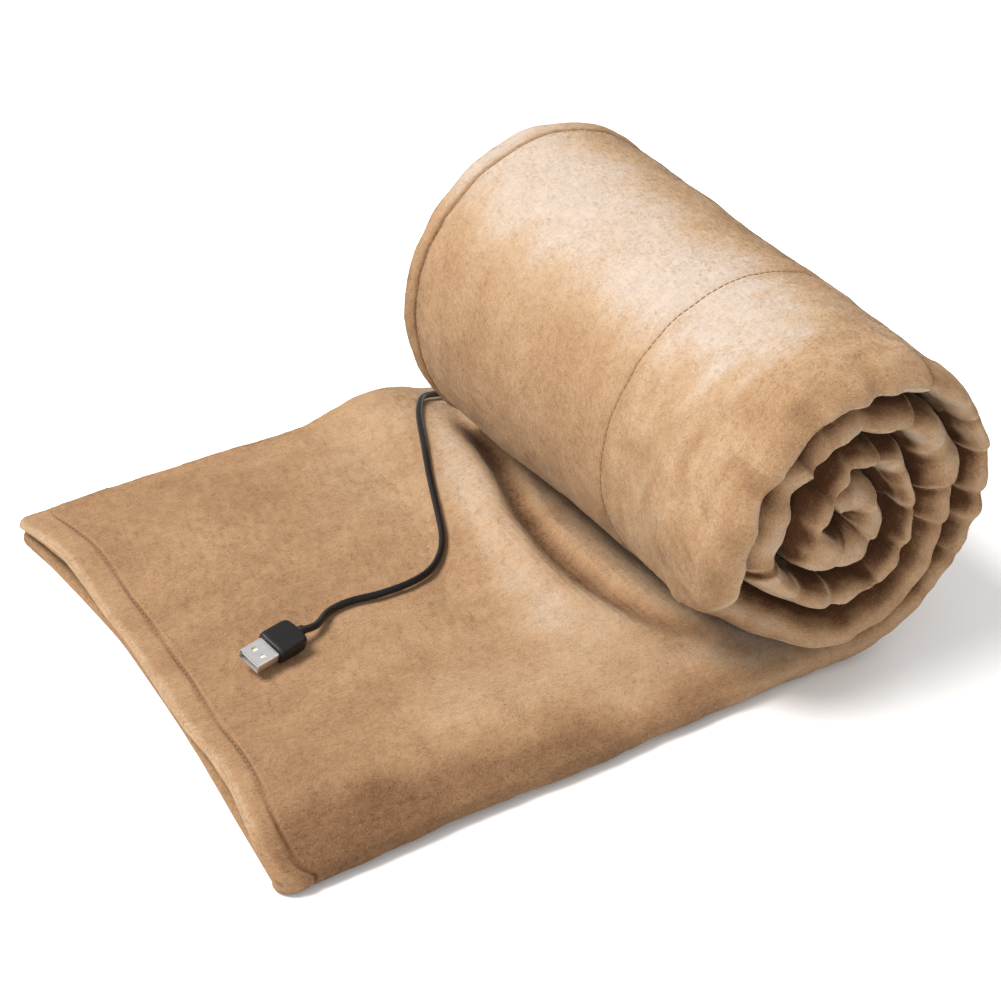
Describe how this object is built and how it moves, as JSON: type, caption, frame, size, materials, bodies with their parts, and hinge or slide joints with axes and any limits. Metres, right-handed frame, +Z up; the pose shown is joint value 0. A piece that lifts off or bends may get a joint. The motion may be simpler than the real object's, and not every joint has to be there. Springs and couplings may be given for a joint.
{
  "type": "electric heated throw blanket, folded and rolled",
  "caption": "Tan plush heated blanket, folded double lengthwise and rolled up from one end, its last stretch lying flat with a thin black USB lead and plug resting on it.",
  "frame": {"origin": "on the surface, under the middle of the blanket's bounding box in plan", "axes": "+X runs along the throw from its flat end to the roll, +Y along the roll from the soft fold to the open hems, +Z up"},
  "size_m": [0.3647, 0.3329, 0.1722],
  "materials": {
    "tan_plush": "short-piled flannel plush with a soft sheen",
    "black_sleeve": "satin",
    "black_grip": "fine matt moulding",
    "plated_steel": "bright plated",
    "white_tongue": "matt"
  },
  "bodies": {
    "root": {"blanket": "tan_plush", "lead": "black_sleeve", "plug_body": "black_grip", "plug_shell": "plated_steel", "plug_tongue": "white_tongue"}
  },
  "joints": []
}
